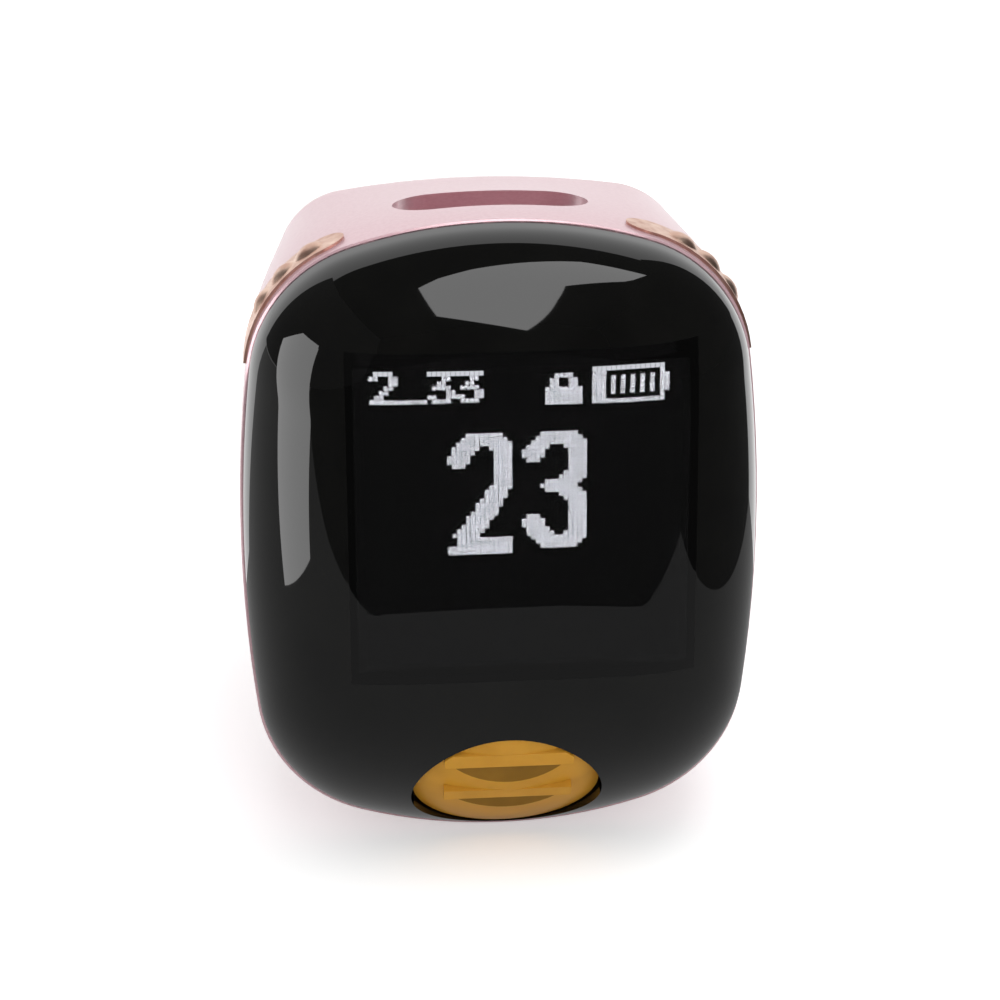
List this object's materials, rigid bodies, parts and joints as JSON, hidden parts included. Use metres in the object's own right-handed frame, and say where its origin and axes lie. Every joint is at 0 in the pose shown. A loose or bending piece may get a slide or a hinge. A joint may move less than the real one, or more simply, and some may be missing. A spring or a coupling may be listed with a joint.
{
  "type": "finger ring tally counter",
  "caption": "Electronic finger-ring tally counter with a domed dark cover over a small lit display and a ribbed thumb button on its lower slope.",
  "frame": {"origin": "centre of the finger bore", "axes": "+X along the finger bore, the display faces -Y, +Z towards the top of the display"},
  "size_m": [0.0234, 0.0304, 0.0298],
  "materials": {
    "ring_metal": "pearl pink satin",
    "inlay_copper": "satin copper",
    "cover_black": "smoked, high gloss",
    "gasket_dark": "satin",
    "button_amber": "satin translucent",
    "display_panel": "dark, lit figures",
    "clear_adhesive": "clear bond line",
    "foam_black": "matte",
    "circuit_board": "solder mask",
    "flex_polyimide": "film",
    "chip_black": "moulded",
    "steel_bright": "stamped",
    "cell_foil": "foil",
    "contact_gold": "gold plated",
    "tungsten": "sintered",
    "switch_black": "moulded",
    "silicone_grey": "matte"
  },
  "bodies": {
    "casing": {"ring_body": "ring_metal", "left_inlay": "inlay_copper", "right_inlay": "inlay_copper", "front_cover": "cover_black", "cover_gasket": "gasket_dark", "display_adhesive": "clear_adhesive", "display_glass": "display_panel", "display_foam": "foam_black", "display_connector": "chip_black", "display_flex": "flex_polyimide", "main_board": "circuit_board", "controller_chip": "chip_black", "crystal": "steel_bright", "voltage_regulator": "chip_black", "board_screw_left": "steel_bright", "board_screw_right": "steel_bright", "battery_cell": "cell_foil", "battery_tape": "foam_black", "battery_foam": "foam_black", "battery_tab_positive": "steel_bright", "battery_tab_negative": "steel_bright", "motor_case": "steel_bright", "motor_base": "circuit_board", "motor_shaft": "steel_bright", "motor_pad": "foam_black", "motor_contact_left": "contact_gold", "motor_contact_right": "contact_gold", "charge_contact_left": "contact_gold", "charge_contact_right": "contact_gold", "charge_board": "circuit_board", "charge_lead": "flex_polyimide", "switch_body": "switch_black", "switch_board": "circuit_board", "switch_bracket": "switch_black", "switch_lead": "flex_polyimide"},
    "button": {"button_cap": "button_amber", "button_pusher": "silicone_grey", "switch_plunger": "steel_bright"},
    "rotor": {"motor_rotor": "tungsten"}
  },
  "joints": [
    {"name": "button_press", "type": "slide", "parent": "casing", "child": "button", "axis": [0, 0.788, 0.6157], "range_m": [0, 0.0006], "stiffness_N_per_m": 2500, "springref_m": -0.0002},
    {"name": "motor_spin", "type": "hinge", "parent": "casing", "child": "rotor", "pos_m": [-0.0034, -0.0128, -0.0015], "axis": [0, 1, 0], "continuous": true}
  ]
}
